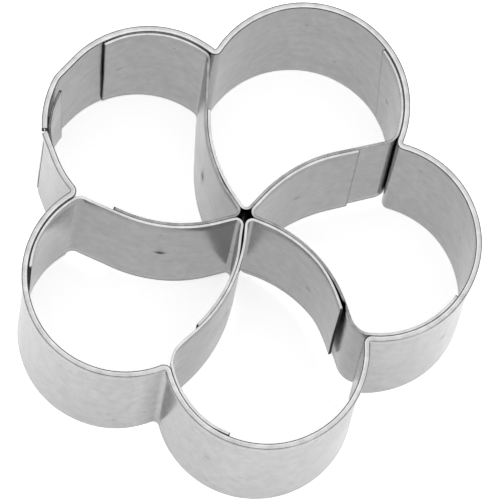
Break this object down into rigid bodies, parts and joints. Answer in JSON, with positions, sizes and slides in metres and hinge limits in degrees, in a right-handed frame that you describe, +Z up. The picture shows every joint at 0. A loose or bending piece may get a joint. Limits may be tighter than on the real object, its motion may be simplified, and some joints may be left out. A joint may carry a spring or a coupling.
{
  "type": "open flower cutter",
  "caption": "Open sheet-metal flower cutter with a hemmed rim and inner strips that mark the petals in rolled dough or sugar paste.",
  "frame": {"origin": "centre of the cutter's outline, at the level of the cutting edge it stands on", "axes": "+Z up through the hemmed rim, +Y out along the axis of petal 1, +X to the right of it; petals are numbered anticlockwise seen from above"},
  "size_m": [0.0502, 0.0486, 0.025],
  "materials": {
    "band_tinplate": "bright tinplate, lightly rubbed, with fine rolling lines",
    "strip_tinplate": "bright tinplate, lightly rubbed, with fine rolling lines",
    "weld_steel": "bare fused steel, dull grey"
  },
  "bodies": {
    "root": {"outer_band": "band_tinplate", "petal_strip_1": "strip_tinplate", "petal_strip_2": "strip_tinplate", "petal_strip_3": "strip_tinplate", "petal_strip_4": "strip_tinplate", "petal_strip_5": "strip_tinplate", "divider_spot_welds": "weld_steel", "hook_spot_welds": "weld_steel", "lap_spot_welds": "weld_steel"}
  },
  "joints": []
}
